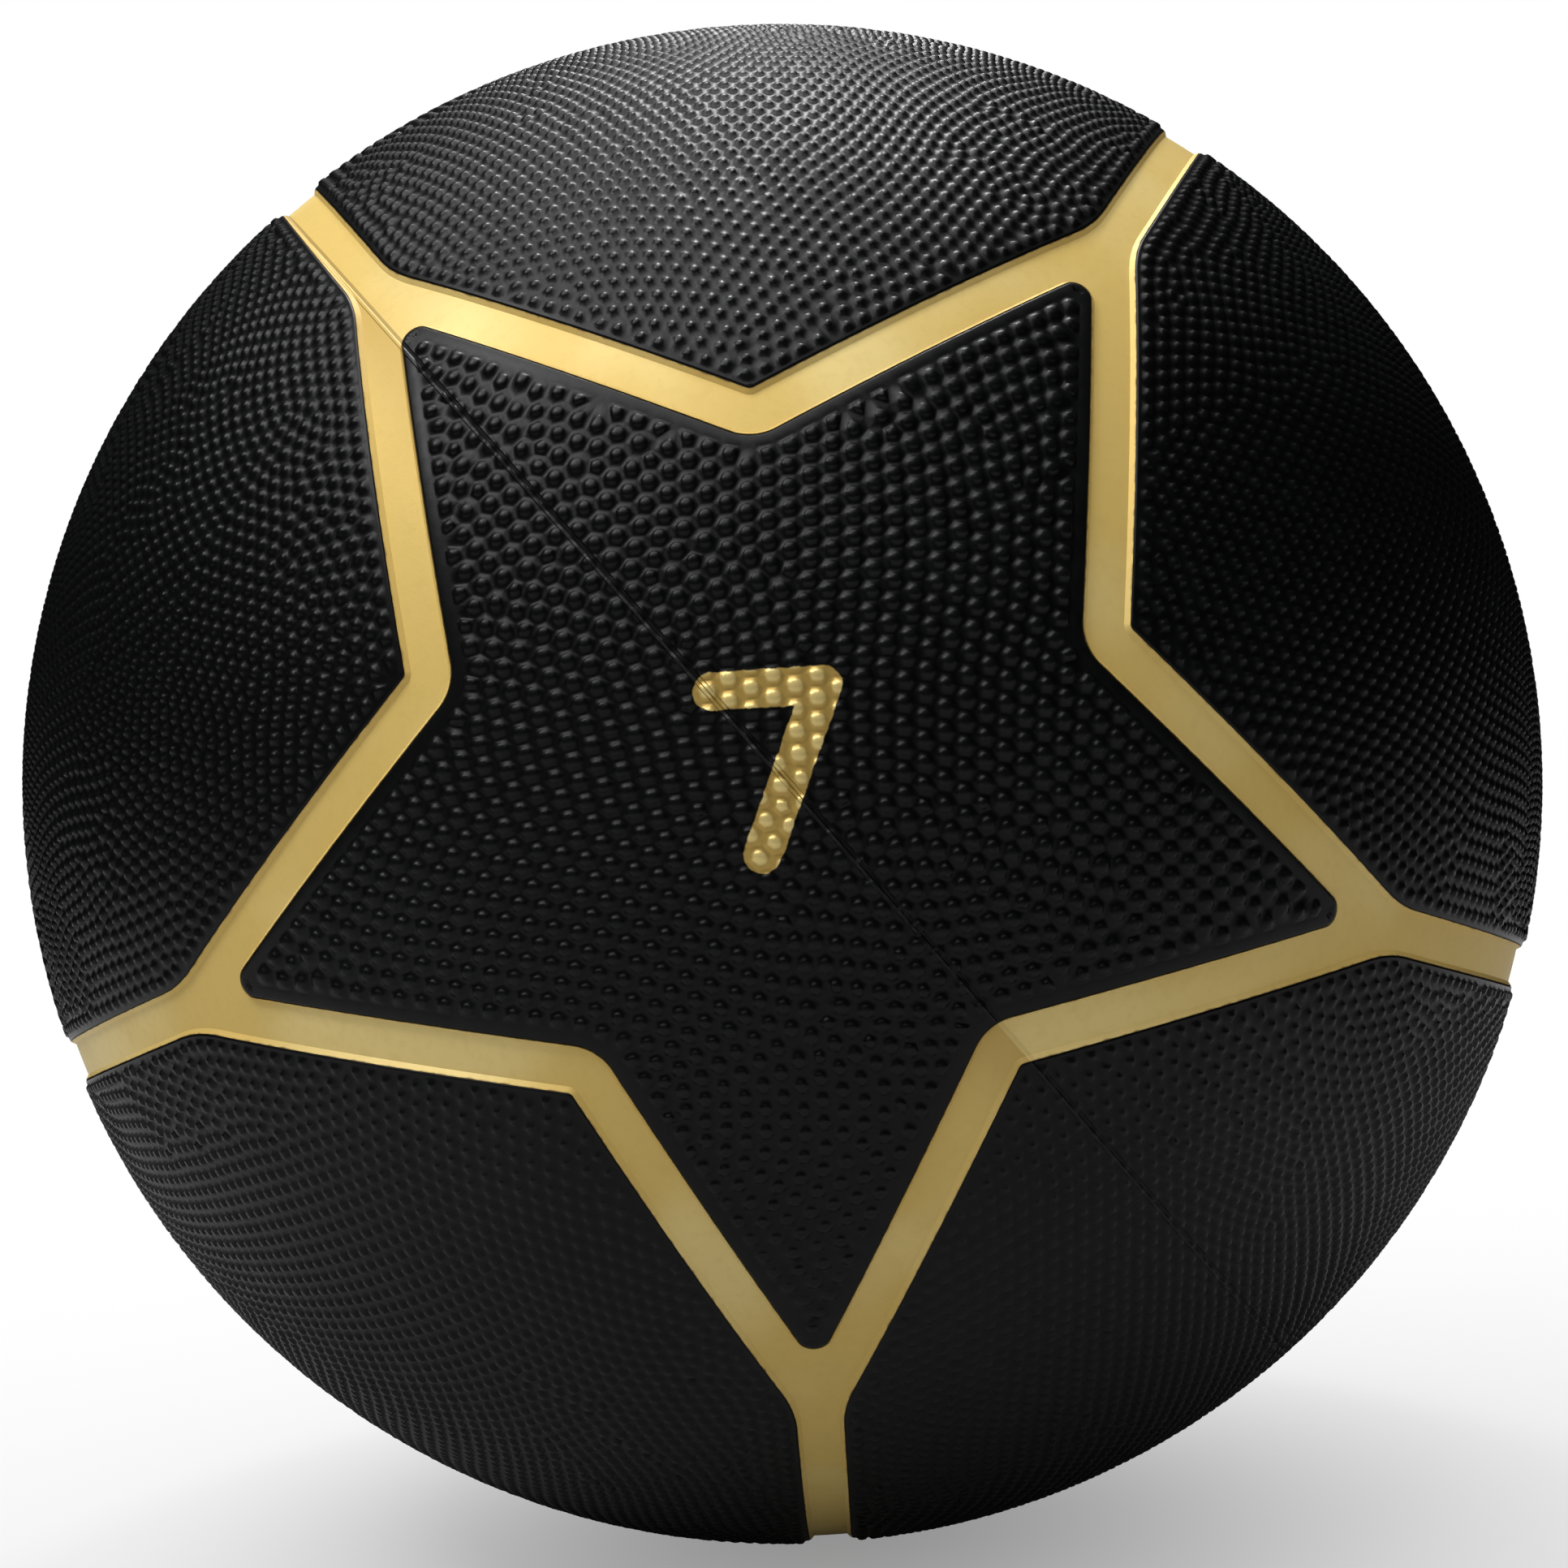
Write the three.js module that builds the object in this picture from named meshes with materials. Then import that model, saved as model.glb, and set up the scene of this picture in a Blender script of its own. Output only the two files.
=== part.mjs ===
// A moulded rubber basketball, size 7, as the pieces that it is built up from.
// Millimetres, +Z up, origin at the centre of the ball. The front star faces -Y, the back star
// and the valve face +Y, and both stars have one tip straight down.

import * as THREE from "three";
import { mergeVertices } from "three/addons/utils/BufferGeometryUtils.js";

// Ball and layers, from the outside in.
const ballDiameter = 240;
const channelDepth = 1.2;
const channelRubber = 0.5;
const carcassWall = 0.6;
const windingWall = 0.4;
const bladderWall = 0.7;
const bondLine = 0.3;

// Outline of the stars and the spokes, as distances over the surface of the ball.
const starTipReach = 89.6;
const starNotchReach = 43.2;
const starEdgeBow = 1.4;
const channelWidth = 6.2;
const tipRadius = 2.1;
const notchRadius = 6.0;
const apexRadius = 1.0;
const junctionRadius = 22;
const lipRadius = 0.8;
const starPoints = 5;

// Valve: a rubber stem bonded inside the bladder, and the plug pressed into it.
const valveRecess = 0.6;
const collarWall = 1.5;
const stemWall = 1.8;
const flangeDiameter = 24;
const flangeThickness = 1.2;
const plugHeadDiameter = 6.6;
const plugHeadThickness = 1.2;
const plugDiameter = 4.6;
const plugTipDiameter = 3.6;
const plugLength = 15;
const plugTipProud = 0.5;
const plugFit = 0.3;
const needleBore = 1.2;
const needleEntry = 2.2;
const needleEntryDepth = 0.8;
const plugEnd = 3;

// Fineness of the facets.
const facetArc = THREE.MathUtils.degToRad(8.6);
const roundSegments = 20;
const lipSteps = 2;
const tipSteps = 2;
const notchSteps = 1;
const junctionSteps = 1;

// Radii of the layers. A flat facet between points on a sphere dips below it, so the cover
// stands off the carcass by that dip as well as by the bond line.
const ballRadius = ballDiameter / 2;
const netRadius = ballRadius - channelDepth;
const coverInner = netRadius - channelRubber;
const facetDip = coverInner * (1 - Math.cos(facetArc * Math.SQRT1_2));
const carcassOuter = coverInner - facetDip - bondLine;
const carcassInner = carcassOuter - carcassWall;
const windingOuter = carcassInner - bondLine;
const windingInner = windingOuter - windingWall;
const bladderOuter = windingInner - bondLine;
const bladderInner = bladderOuter - bladderWall;

// Radii of the valve, from the plug out to the holes in the layers.
const plugHeadRadius = plugHeadDiameter / 2;
const plugRadius = plugDiameter / 2;
const stemBore = plugRadius + plugFit;
const stemRadius = stemBore + stemWall;
const collarBore = plugHeadRadius + plugFit;
const collarRadius = Math.max(collarBore + collarWall, stemRadius);
const valveHole = collarRadius + bondLine;
const flangeRadius = Math.max(flangeDiameter / 2, valveHole + flangeThickness);

const rubber = { color: 0x1c1d1f, roughness: 0.62, metalness: 0 };
const goldPaint = { color: 0xc4a35a, roughness: 0.38, metalness: 0.55 };
const carcassRubber = { color: 0x2a2826, roughness: 0.8, metalness: 0 };
const nylonThread = { color: 0xd9d2bf, roughness: 0.75, metalness: 0 };
const butylRubber = { color: 0x151516, roughness: 0.55, metalness: 0 };
const stemRubber = { color: 0x202022, roughness: 0.5, metalness: 0 };
const plugRubber = { color: 0x33302c, roughness: 0.45, metalness: 0 };

// The outlines are worked out as unit directions in the star's own frame: z is the star's axis
// and x points to its first tip. One sector runs from a tip to the notch beside it.
const halfSector = Math.PI / starPoints;
const notchPlane = new THREE.Vector3(-Math.sin(halfSector), Math.cos(halfSector), 0);
const tipPlane = new THREE.Vector3(0, 1, 0);
const equatorPlane = new THREE.Vector3(0, 0, 1);

function direction(polar, azimuth) {
  const across = Math.sin(polar);
  return new THREE.Vector3(
    across * Math.cos(azimuth),
    across * Math.sin(azimuth),
    Math.cos(polar),
  );
}

function mirrored(point, plane) {
  return point.clone().addScaledVector(plane, -2 * point.dot(plane));
}

function turned(point, angle) {
  return point.clone().applyAxisAngle(equatorPlane, angle);
}

function alongArc(from, to, share) {
  const angle = from.angleTo(to);
  if (angle === 0) {
    return from.clone();
  }
  return from.clone()
    .multiplyScalar(Math.sin((1 - share) * angle) / Math.sin(angle))
    .addScaledVector(to, Math.sin(share * angle) / Math.sin(angle));
}

// The middle of the channel along one star edge: nearly a great circle from the tip to the
// notch, bowed a little towards the centre of the star.
const tipCorner = direction(starTipReach / ballRadius, 0);
const notchCorner = direction(starNotchReach / ballRadius, halfSector);
const towardsCentre = tipCorner.clone().cross(notchCorner).normalize();

function edgeMiddle(share) {
  const bow = (4 * share * (1 - share) * starEdgeBow) / ballRadius;
  return alongArc(tipCorner, notchCorner, share).addScaledVector(towardsCentre, bow).normalize();
}

// A point beside that middle line, at a distance over the surface, positive away from the star.
function besideEdge(share, distance) {
  const step = 1e-4;
  const middle = edgeMiddle(share);
  const outward = edgeMiddle(share + step).sub(edgeMiddle(share - step)).cross(middle).normalize();
  const angle = distance / ballRadius;
  return middle.multiplyScalar(Math.cos(angle)).addScaledVector(outward, Math.sin(angle));
}

// A point beside the middle of a spoke, which is a meridian through the first tip.
function besideSpoke(polar, distance) {
  const angle = distance / ballRadius;
  const across = Math.cos(angle);
  return new THREE.Vector3(Math.sin(polar) * across, Math.sin(angle), Math.cos(polar) * across);
}

// The share of the edge at which a rising measure of the point beside it reaches zero.
function shareWhere(distance, measure) {
  let low = -0.6;
  let high = 1.6;
  for (let pass = 0; pass < 50; pass += 1) {
    const middle = (low + high) / 2;
    if (measure(besideEdge(middle, distance)) < 0) {
      low = middle;
    } else {
      high = middle;
    }
  }
  return (low + high) / 2;
}

// Rounded corners. Each has one centre, and its arc gets smaller or larger as an outline is
// drawn further in or out, so that all outlines of a panel stay parallel.
const halfChannel = channelWidth / 2;
const apexFillet = Math.max(apexRadius, lipRadius);
const tipFillet = Math.max(tipRadius, lipRadius);
const tipOffset = -(halfChannel + tipFillet);
const notchOffset = notchRadius - halfChannel;
const apexOffset = halfChannel + apexFillet;
const junctionOffset = halfChannel + junctionRadius;
const tipShare = shareWhere(tipOffset, (point) => point.dot(tipPlane));
const notchShare = shareWhere(notchOffset, (point) => point.dot(notchPlane));
const apexShare = shareWhere(apexOffset, (point) => point.dot(notchPlane));
const junctionShare = shareWhere(
  junctionOffset,
  (point) => Math.asin(point.dot(tipPlane)) - junctionOffset / ballRadius,
);
const tipCentre = besideEdge(tipShare, tipOffset);
const notchCentre = besideEdge(notchShare, notchOffset);
const apexCentre = besideEdge(apexShare, apexOffset);
const junctionCentre = besideEdge(junctionShare, junctionOffset);
const spokeStart = Math.atan2(junctionCentre.x, junctionCentre.z);

function heading(centre, target) {
  return target.clone().addScaledVector(centre, -centre.dot(target)).normalize();
}

function cornerArc(centre, radius, from, to, steps) {
  const start = heading(centre, from);
  const swing = start.angleTo(heading(centre, to));
  const turnAxis = start.clone().cross(heading(centre, to)).normalize();
  const angle = radius / ballRadius;
  const points = [];
  for (let step = 0; step <= steps; step += 1) {
    const aim = start.clone().applyAxisAngle(turnAxis, (swing * step) / steps);
    points.push(
      centre.clone().multiplyScalar(Math.cos(angle)).addScaledVector(aim, Math.sin(angle)),
    );
  }
  return points;
}

function stepsFor(length) {
  return Math.max(2, Math.ceil(length / (facetArc * ballRadius)));
}

function run(steps, pointAt) {
  return Array.from({ length: steps - 1 }, (_, step) => pointAt((step + 1) / steps));
}

const edgeSteps = stepsFor(tipCorner.angleTo(notchCorner) * ballRadius);
const spokeSteps = stepsFor((Math.PI / 2 - spokeStart) * ballRadius);

// One sector of the star panel's outline, from the notch to the tip.
function starSector(inset) {
  const offset = -(halfChannel + inset);
  const beyondNotch = direction(0, 0);
  const beyondTip = direction(Math.PI / 2, 0);
  const notchFoot = besideEdge(notchShare, offset);
  const tipFoot = besideEdge(tipShare, offset);
  return [
    ...cornerArc(notchCentre, notchRadius + inset, beyondNotch, notchFoot, notchSteps),
    ...run(edgeSteps, (share) =>
      besideEdge(THREE.MathUtils.lerp(notchShare, tipShare, share), offset)),
    ...cornerArc(tipCentre, tipFillet - inset, tipFoot, beyondTip, tipSteps),
  ];
}

// One quarter of a side panel's outline, from its pointed end to the equator.
function sideQuarter(inset) {
  const offset = halfChannel + inset;
  const beyondApex = direction(0, 0);
  const apexFoot = besideEdge(apexShare, offset);
  const edgeFoot = besideEdge(junctionShare, offset);
  const spokeFoot = besideSpoke(spokeStart, offset);
  const fillet = junctionRadius - inset;
  const filletSteps = tipSteps + junctionSteps;
  return [
    ...cornerArc(apexCentre, apexFillet - inset, beyondApex, apexFoot, notchSteps),
    ...run(edgeSteps, (share) =>
      besideEdge(THREE.MathUtils.lerp(apexShare, junctionShare, share), offset)),
    ...cornerArc(junctionCentre, fillet, edgeFoot, spokeFoot, filletSteps),
    ...run(spokeSteps, (share) =>
      besideSpoke(THREE.MathUtils.lerp(spokeStart, Math.PI / 2, share), offset)),
    besideSpoke(Math.PI / 2, offset),
  ];
}

function starOutline(inset) {
  const sector = starSector(inset);
  const half = sector.slice(1);
  const otherHalf = sector.slice(0, -1).reverse().map((point) => mirrored(point, tipPlane));
  const repeat = [...half, ...otherHalf];
  return Array.from({ length: starPoints }, (_, index) =>
    repeat.map((point) => turned(point, -2 * halfSector * index))).flat();
}

function sideRail(inset) {
  const quarter = sideQuarter(inset);
  const rest = quarter.slice(0, -1).reverse().map((point) => mirrored(point, equatorPlane));
  return [...quarter, ...rest];
}

// Triangles are gathered as loose corners, then welded into one closed body.
function scaled(points, radius) {
  return points.map((point) => point.clone().multiplyScalar(radius));
}

function addQuad(corners, a, b, c, d) {
  corners.push(a, b, c, a, c, d);
}

function addBand(corners, upper, lower, closed) {
  const count = closed ? upper.length : upper.length - 1;
  for (let index = 0; index < count; index += 1) {
    const next = (index + 1) % upper.length;
    addQuad(corners, upper[index], lower[index], lower[next], upper[next]);
  }
}

function weldedBody(corners) {
  const loose = new THREE.BufferGeometry().setFromPoints(corners);
  const welded = mergeVertices(loose, 1e-3);
  const index = welded.getIndex().array;
  const kept = [];
  for (let at = 0; at < index.length; at += 3) {
    const [a, b, c] = [index[at], index[at + 1], index[at + 2]];
    if (a !== b && b !== c && c !== a) {
      kept.push(a, b, c);
    }
  }
  welded.setIndex(signedVolume(welded, kept) < 0 ? kept.reverse() : kept);
  return welded.toNonIndexed();
}

function signedVolume(geometry, index) {
  const position = geometry.getAttribute("position");
  const corner = (at) => new THREE.Vector3().fromBufferAttribute(position, index[at]);
  let volume = 0;
  for (let at = 0; at < index.length; at += 3) {
    volume += corner(at).dot(corner(at + 1).cross(corner(at + 2))) / 6;
  }
  return volume;
}

// The edge of a cover panel: a rolled lip, then a wall down to the carcass.
function panelEdge(outline) {
  const loops = [];
  for (let step = 0; step <= lipSteps; step += 1) {
    const angle = (Math.PI / 2) * (step / lipSteps);
    const inset = lipRadius * (1 - Math.sin(angle));
    const radius = ballRadius - lipRadius * (1 - Math.cos(angle));
    loops.push(scaled(outline(inset), radius));
  }
  loops.push(scaled(outline(0), coverInner));
  return loops;
}

// A star panel is lofted in rings from its centre, or from the edge of a round hole there,
// out to its outline, over the lip and back underneath.
function starPanel(holeRadius) {
  const rings = Math.ceil(starTipReach / ballRadius / facetArc);
  const face = (outline, radius) => {
    const polar = Math.asin(holeRadius / radius);
    return Array.from({ length: rings }, (_, ring) =>
      scaled(outline.map((point) => {
        const inner = direction(polar, Math.atan2(point.y, point.x));
        return alongArc(inner, point, ring / rings);
      }), radius));
  };
  const loops = [
    ...face(starOutline(lipRadius), ballRadius),
    ...panelEdge(starOutline),
    ...face(starOutline(0), coverInner).reverse(),
  ];
  const corners = [];
  for (let at = 0; at + 1 < loops.length; at += 1) {
    addBand(corners, loops[at], loops[at + 1], true);
  }
  if (holeRadius > 0) {
    addBand(corners, loops.at(-1), loops[0], true);
  }
  return weldedBody(corners);
}

// A side panel is lofted in rows that cross it from one spoke to the next.
function sidePanel() {
  const columns = Math.ceil((2 * halfSector) / facetArc);
  const outline = (inset) => {
    const rail = sideRail(inset);
    const otherRail = rail.slice(1, -1).reverse().map((point) => mirrored(point, notchPlane));
    return [...rail, ...otherRail];
  };
  const corners = [];
  const addFace = (inset, radius, upright) => {
    const rail = sideRail(inset);
    const lines = Array.from({ length: columns + 1 }, (_, column) =>
      scaled(rail.map((point) =>
        alongArc(point, mirrored(point, notchPlane), column / columns)), radius));
    for (let column = 0; column < columns; column += 1) {
      const [near, far] = upright ? [column + 1, column] : [column, column + 1];
      addBand(corners, lines[near], lines[far], false);
    }
  };
  const loops = panelEdge(outline);
  addFace(lipRadius, ballRadius, true);
  for (let at = 0; at + 1 < loops.length; at += 1) {
    addBand(corners, loops[at], loops[at + 1], true);
  }
  addFace(0, coverInner, false);
  return weldedBody(corners);
}

// The channel net is one ladder of facets between the star's rail and the side panel's rail,
// from the notch round the junction to the equator, repeated by mirrors and turns.
function channelNet() {
  const sector = starSector(-bondLine);
  const tip = sector.at(-1);
  const tipPolar = Math.atan2(tip.x, tip.z);
  const starRail = [
    ...sector,
    ...run(junctionSteps, (share) =>
      direction(THREE.MathUtils.lerp(tipPolar, spokeStart, share), 0)),
    direction(spokeStart, 0),
    ...run(spokeSteps, (share) =>
      direction(THREE.MathUtils.lerp(spokeStart, Math.PI / 2, share), 0)),
    direction(Math.PI / 2, 0),
  ];
  const panelRail = sideQuarter(-bondLine);
  const wedge = [];
  addBand(wedge, scaled(starRail, netRadius), scaled(panelRail, netRadius), false);
  addBand(wedge, scaled(panelRail, netRadius), scaled(panelRail, coverInner), false);
  addBand(wedge, scaled(panelRail, coverInner), scaled(starRail, coverInner), false);
  addBand(wedge, scaled(sector, coverInner), scaled(sector, netRadius), false);
  const across = (corners, plane) =>
    [...corners, ...corners.map((point) => mirrored(point, plane)).reverse()];
  const spoke = across(across(wedge, tipPlane), equatorPlane);
  const corners = Array.from({ length: starPoints }, (_, index) =>
    spoke.map((point) => turned(point, 2 * halfSector * index))).flat();
  return weldedBody(corners);
}

// Revolved pieces turn about the valve's axis, which is Y.
function onSphere(radius, fromAxis) {
  return new THREE.Vector2(fromAxis, Math.sqrt(radius ** 2 - fromAxis ** 2));
}

function revolved(profile) {
  const corners = [];
  const turn = new THREE.LatheGeometry([...profile, profile[0]], roundSegments).toNonIndexed();
  const position = turn.getAttribute("position");
  for (let at = 0; at < position.count; at += 1) {
    corners.push(new THREE.Vector3().fromBufferAttribute(position, at));
  }
  return weldedBody(corners);
}

function layerShell(outer, inner) {
  const steps = roundSegments / 2;
  const arc = (radius) => {
    const start = Math.asin(flangeRadius / radius);
    const points = [onSphere(radius, valveHole)];
    for (let step = 0; step <= steps; step += 1) {
      const polar = THREE.MathUtils.lerp(start, Math.PI, step / steps);
      const fromAxis = step === steps ? 0 : radius * Math.sin(polar);
      points.push(new THREE.Vector2(fromAxis, radius * Math.cos(polar)));
    }
    return points;
  };
  return revolved([...arc(outer), ...arc(inner).reverse()]);
}

const valveFace = onSphere(ballRadius, valveHole).y - valveRecess;

function valveHousing() {
  const seat = bladderInner - bondLine;
  const under = seat - flangeThickness;
  const tailEnd = valveFace - plugLength + plugTipProud;
  return revolved([
    new THREE.Vector2(collarBore, valveFace),
    new THREE.Vector2(collarRadius, valveFace),
    onSphere(seat, collarRadius),
    onSphere(seat, flangeRadius),
    onSphere(under, flangeRadius),
    onSphere(under, stemRadius),
    new THREE.Vector2(stemRadius, tailEnd),
    new THREE.Vector2(stemBore, tailEnd),
    new THREE.Vector2(stemBore, valveFace - plugHeadThickness - plugFit),
    new THREE.Vector2(collarBore, valveFace - plugHeadThickness - plugFit),
  ]);
}

function valvePlug() {
  const bottom = valveFace - plugLength;
  return revolved([
    new THREE.Vector2(needleEntry / 2, valveFace),
    new THREE.Vector2(plugHeadRadius, valveFace),
    new THREE.Vector2(plugHeadRadius, valveFace - plugHeadThickness),
    new THREE.Vector2(plugRadius, valveFace - plugHeadThickness),
    new THREE.Vector2(plugTipDiameter / 2, bottom),
    new THREE.Vector2(0, bottom),
    new THREE.Vector2(0, bottom + plugEnd),
    new THREE.Vector2(needleBore / 2, bottom + plugEnd),
    new THREE.Vector2(needleBore / 2, valveFace - needleEntryDepth),
  ]);
}

function piece(name, geometry, finish) {
  geometry.computeVertexNormals();
  const mesh = new THREE.Mesh(geometry, new THREE.MeshStandardMaterial(finish));
  mesh.name = name;
  return mesh;
}

const cover = new THREE.Group();
cover.quaternion.setFromRotationMatrix(new THREE.Matrix4().makeBasis(
  new THREE.Vector3(0, 0, -1),
  new THREE.Vector3(1, 0, 0),
  new THREE.Vector3(0, -1, 0),
));
cover.add(piece("front_star_panel", starPanel(0), rubber));
const backStar = piece("back_star_panel", starPanel(valveHole), rubber);
backStar.rotation.x = Math.PI;
cover.add(backStar);
for (let index = 0; index < starPoints; index += 1) {
  const panel = piece(`side_panel_${index + 1}`, sidePanel(), rubber);
  panel.rotation.z = 2 * halfSector * index;
  cover.add(panel);
}
cover.add(piece("channel_net", channelNet(), goldPaint));

const ball = new THREE.Group();
ball.name = "basketball";
ball.add(cover);
ball.add(piece("carcass", layerShell(carcassOuter, carcassInner), carcassRubber));
ball.add(piece("thread_winding", layerShell(windingOuter, windingInner), nylonThread));
ball.add(piece("bladder", layerShell(bladderOuter, bladderInner), butylRubber));
ball.add(piece("valve_housing", valveHousing(), stemRubber));
ball.add(piece("valve_plug", valvePlug(), plugRubber));

export default ball;
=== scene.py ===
"""The looks of a moulded rubber basketball: pebbled black panels round a gold channel net."""

from collections import namedtuple
from math import asin, atan2, cos, hypot, pi, radians, sin, sqrt

import bmesh
import bpy
import numpy as np
from mathutils import Matrix, Vector
from mathutils.geometry import delaunay_2d_cdt


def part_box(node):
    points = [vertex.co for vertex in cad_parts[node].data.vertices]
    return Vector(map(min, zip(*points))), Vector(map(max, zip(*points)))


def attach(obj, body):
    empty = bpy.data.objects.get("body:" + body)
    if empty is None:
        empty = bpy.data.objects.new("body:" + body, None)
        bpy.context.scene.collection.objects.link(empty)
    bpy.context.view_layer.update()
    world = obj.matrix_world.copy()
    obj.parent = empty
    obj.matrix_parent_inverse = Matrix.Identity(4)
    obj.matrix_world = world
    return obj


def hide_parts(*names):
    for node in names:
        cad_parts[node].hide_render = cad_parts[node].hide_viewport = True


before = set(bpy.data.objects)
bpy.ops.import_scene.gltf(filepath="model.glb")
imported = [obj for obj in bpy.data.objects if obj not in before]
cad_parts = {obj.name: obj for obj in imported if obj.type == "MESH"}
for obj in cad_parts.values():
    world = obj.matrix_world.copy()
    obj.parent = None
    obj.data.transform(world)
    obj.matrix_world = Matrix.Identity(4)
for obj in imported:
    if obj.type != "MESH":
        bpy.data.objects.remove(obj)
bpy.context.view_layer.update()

# Radii of the ball and height of the valve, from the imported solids, in metres.
BALL_RADIUS = -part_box("front_star_panel")[0].y
NET_RADIUS = -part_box("channel_net")[0].z
VALVE_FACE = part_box("valve_housing")[1].y
STEM_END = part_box("valve_housing")[0].y
FLANGE_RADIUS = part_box("valve_housing")[1].x

# Outline of the stars and the spokes, as distances over the surface of the ball.
STAR_POINTS = 5
STAR_TIP_REACH = 0.0896
STAR_NOTCH_REACH = 0.0432
STAR_EDGE_BOW = 0.0014
CHANNEL_WIDTH = 0.0062
TIP_RADIUS = 0.0021
NOTCH_RADIUS = 0.0060
APEX_RADIUS = 0.0010
JUNCTION_RADIUS = 0.022

# Cover panels: rubber thickness, rim and pebbles.
CHANNEL_RUBBER = 0.0005
RIM_DROP = 0.0005
STAR_RIM = 0.0015
STAR_LIP = 0.0004
SIDE_RIM = 0.0004
SIDE_LIP = 0.0003
# The relief of the rim and the lip also sets the rubber's colour, so the lip is painted darker, as
# shade, where it rolls down into the channel.
RIM_RELIEF = 0.6
LIP_RELIEF = 0.7
RIM_PULL = 4.0
JUNCTION_RISE = 0.5
JUNCTION_RELIEF = 0.3
PEBBLE_HEADROOM = 0.00002
PEBBLE_ROUNDNESS = 0.7
PEBBLE_LEAN = 0.05
SIZE_SCATTER = 0.05
HEIGHT_SCATTER = 0.08
LOWEST_PEBBLE = 0.8
INNER_FACE_PITCH = 0.009

# Rows of pebbles: slow waves, in pitches, and how the pebbles settle between the edges.
LATTICE_ROOM = 1.1
ROW_WAVES = 4
ROW_WAVE_LENGTH = (18, 45)
ROW_BEND = 0.2
ROW_SCATTER = 0.06
SETTLING_ROUNDS = 60
SETTLING_STEP = 0.2
SETTLING_REACH = 1.16
EDGE_BELT = 5

# Channel net: a shallow tray between the panels.
NET_CLEARANCE = 0.00004
TRAY_WALL = 0.0006
TRAY_RISE = 0.0006
TRAY_CORNER = 0.0002
TRAY_FOOT_RELIEF = 0.2

# Steps along the outlines.
NOTCH_STEPS = 6
EDGE_STEPS = 44
TIP_STEPS = 6
JUNCTION_STEPS = 12
SPOKE_STEPS = 72
LIP_STEPS = 4
FLOOR_STEPS = 4
SHARP_ANGLE = radians(38)
WELD_DISTANCE = 0.000002
SEED = 7

# Margins of the flat maps.
MAP_MARGIN = 0.005
NET_MAP_MARGIN = 0.03

# Valve on the back star.
VALVE_HOLE = 0.0054
VALVE_LIP = 0.0006
VALVE_RING = 0.0028
VALVE_STEPS = 48
COLLAR_RADIUS = 0.0051
COLLAR_BORE = 0.0036
FACE_ROUND = 0.0004
STEM_RADIUS = 0.0044
STEM_BORE = 0.0026
FLANGE_TOP = 0.11504
FLANGE_THICKNESS = 0.0012
FLANGE_BEVEL = 0.0003
FLANGE_EDGE = 0.0005
PLUG_HEAD_RADIUS = 0.0033
PLUG_HEAD_THICKNESS = 0.0012
PLUG_FIT = 0.0003
PLUG_RADIUS = 0.0023
PLUG_TIP_RADIUS = 0.0018
PLUG_LENGTH = 0.015
PLUG_END = 0.003
DISH_DEPTH = 0.0003
DISH_RIM = 0.0006
DISH_EDGE = 0.0009
NEEDLE_ENTRY = 0.0011
NEEDLE_ENTRY_DEPTH = 0.0008
NEEDLE_THROAT = 0.00088
NEEDLE_THROAT_DEPTH = 0.0005
NEEDLE_BORE = 0.0006

# The mould's parting plane holds the star's axis and crosses the star at this azimuth.
PARTING_AZIMUTH = radians(217.5)

# The camera: how far it stands from the ball, and how the ball is turned before it.
IMAGE_SIZE = 1932
BALL_CENTRE_X = 964.0
BALL_OUTLINE_RADIUS = 937.2
CAMERA_DISTANCE = 3.2 * BALL_RADIUS
BALL_ROLL = radians(-86.2)
BALL_YAW = radians(-0.92)
BALL_PITCH = radians(0.38)


# Directions from the centre of the ball, in the star's own frame: z is the star's axis and
# x points to its first tip.

def direction(polar, azimuth):
    across = sin(polar)
    return np.array([across * cos(azimuth), across * sin(azimuth), cos(polar)])


def unit(vectors):
    return vectors / np.linalg.norm(vectors, axis=-1, keepdims=True)


def mirrored(points, plane):
    return points - 2 * (points @ plane)[..., None] * plane


def turned(points, angle):
    return points @ np.array(Matrix.Rotation(angle, 3, "Z")).T


def along_arc(start, end, share):
    angle = np.arccos(np.clip(np.sum(start * end, axis=-1), -1, 1))[..., None]
    share = np.asarray(share, float)[..., None]
    blend = np.sin((1 - share) * angle) * start + np.sin(share * angle) * end
    return blend / np.sin(angle)


def ball_frame(points):
    """From the star's frame to the ball's own: the star faces -Y and its first tip is down."""
    return np.stack([points[..., 1], -points[..., 2], -points[..., 0]], axis=-1)


HALF_SECTOR = pi / STAR_POINTS
HALF_CHANNEL = CHANNEL_WIDTH / 2
NOTCH_PLANE = direction(pi / 2, HALF_SECTOR + pi / 2)
FIRST_TIP, TIP_PLANE, STAR_AXIS = np.eye(3)
EQUATOR_PLANE = STAR_AXIS
TIP_CORNER = direction(STAR_TIP_REACH / BALL_RADIUS, 0)
NOTCH_CORNER = direction(STAR_NOTCH_REACH / BALL_RADIUS, HALF_SECTOR)
TOWARDS_CENTRE = unit(np.cross(TIP_CORNER, NOTCH_CORNER))


def edge_middle(share):
    """The middle of the channel along one star edge, from the tip to the notch."""
    share = np.asarray(share, float)
    bow = (4 * share * (1 - share) * STAR_EDGE_BOW / BALL_RADIUS)[..., None]
    return unit(along_arc(TIP_CORNER, NOTCH_CORNER, share) + bow * TOWARDS_CENTRE)


def beside_edge(share, distance):
    """A point beside that middle line, at a distance that is positive away from the star."""
    step = 1e-4
    share = np.asarray(share, float)
    middle = edge_middle(share)
    outward = unit(np.cross(edge_middle(share + step) - edge_middle(share - step), middle))
    angle = distance / BALL_RADIUS
    return middle * cos(angle) + outward * sin(angle)


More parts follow.
